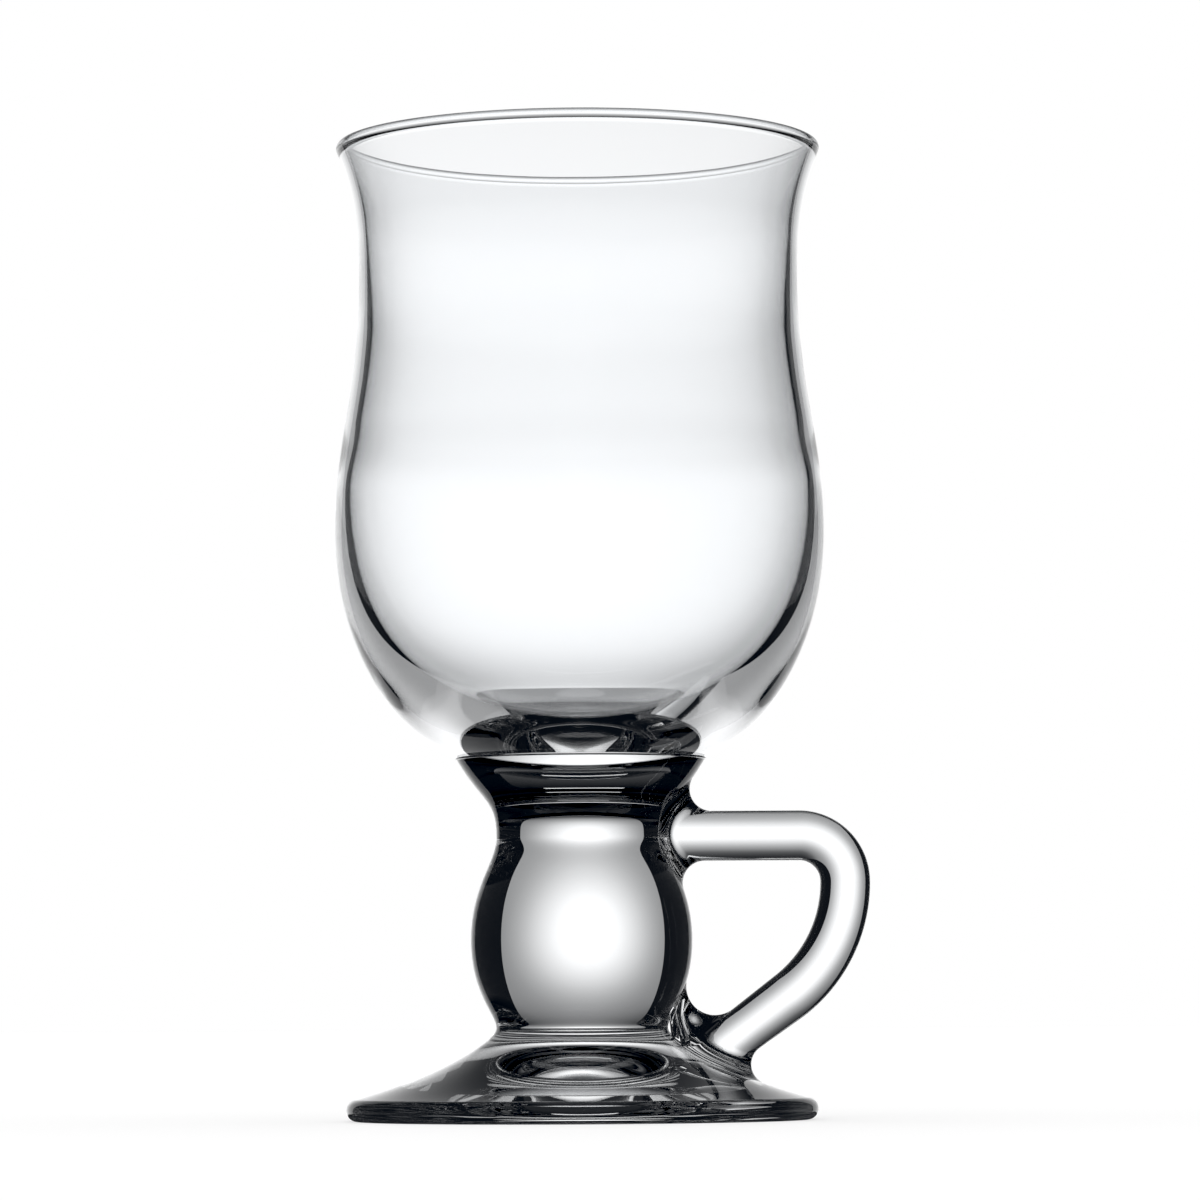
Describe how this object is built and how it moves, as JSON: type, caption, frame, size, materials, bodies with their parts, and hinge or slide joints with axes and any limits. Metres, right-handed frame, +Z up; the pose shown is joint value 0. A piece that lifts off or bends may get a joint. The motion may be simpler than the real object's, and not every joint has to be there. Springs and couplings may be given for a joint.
{
  "type": "irish coffee glass",
  "caption": "Clear footed glass with a flared bowl, a ball stem and a small round-rod handle, for hot coffee drinks.",
  "frame": {"origin": "on the axis of the glass, in the plane that it stands on", "axes": "+Z up along the axis of the glass, +X towards the handle"},
  "size_m": [0.0812, 0.0746, 0.15],
  "materials": {
    "clear_glass": "fire-polished pressed glass"
  },
  "bodies": {
    "root": {"bowl": "clear_glass", "stem": "clear_glass", "foot": "clear_glass", "handle": "clear_glass"}
  },
  "joints": []
}
